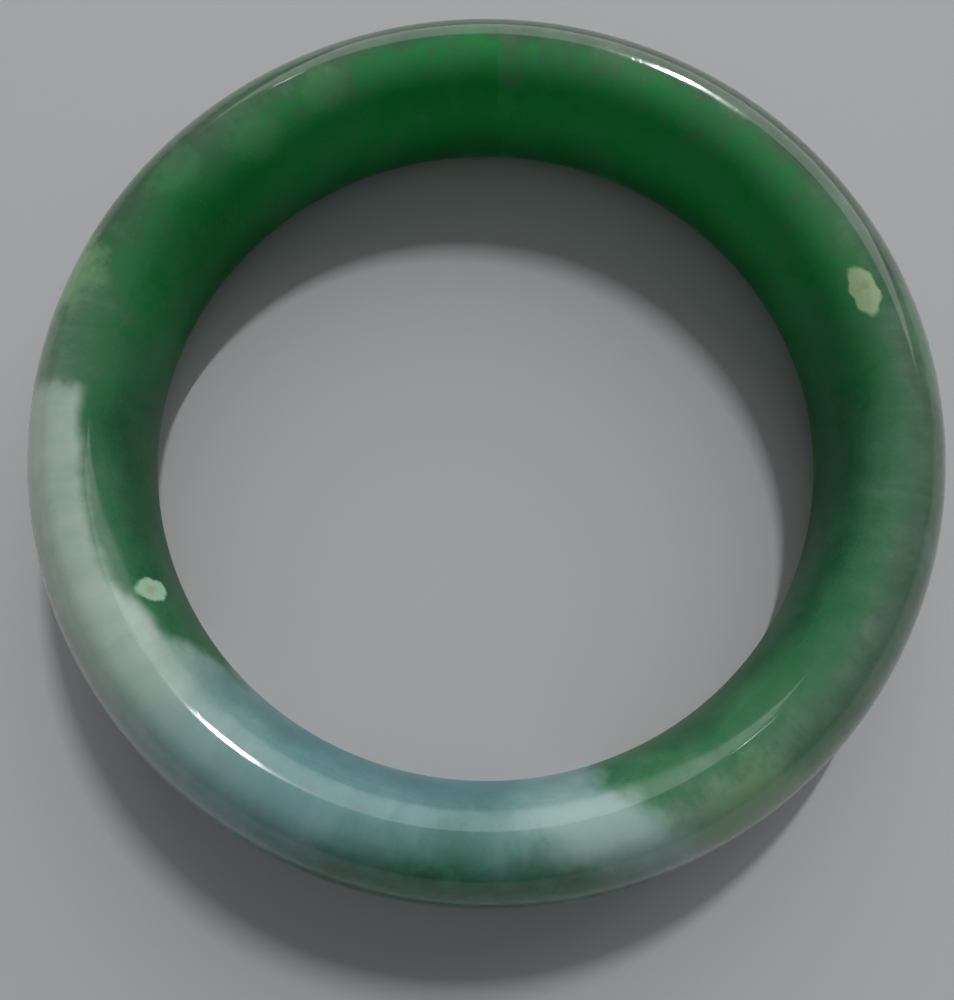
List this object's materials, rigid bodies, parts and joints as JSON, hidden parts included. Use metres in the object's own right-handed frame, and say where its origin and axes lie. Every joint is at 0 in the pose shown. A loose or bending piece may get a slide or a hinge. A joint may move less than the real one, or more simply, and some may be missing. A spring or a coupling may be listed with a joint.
{
  "type": "bangle bracelet",
  "caption": "Rigid closed stone bangle with an oval section, flatter towards the wrist, polished all over, in green jade-type stone with a pale zone.",
  "frame": {"origin": "on the ring's axis, in the plane the bangle rests on when it is laid flat", "axes": "+Z along the ring's axis, up from the surface it lies on; +X to the wearer's right and +Y away, with the pale zone of the stone towards -X and -Y"},
  "size_m": [0.0744, 0.0744, 0.015],
  "materials": {
    "green_stone": "polished"
  },
  "bodies": {
    "root": {"bangle_ring": "green_stone"}
  },
  "joints": []
}
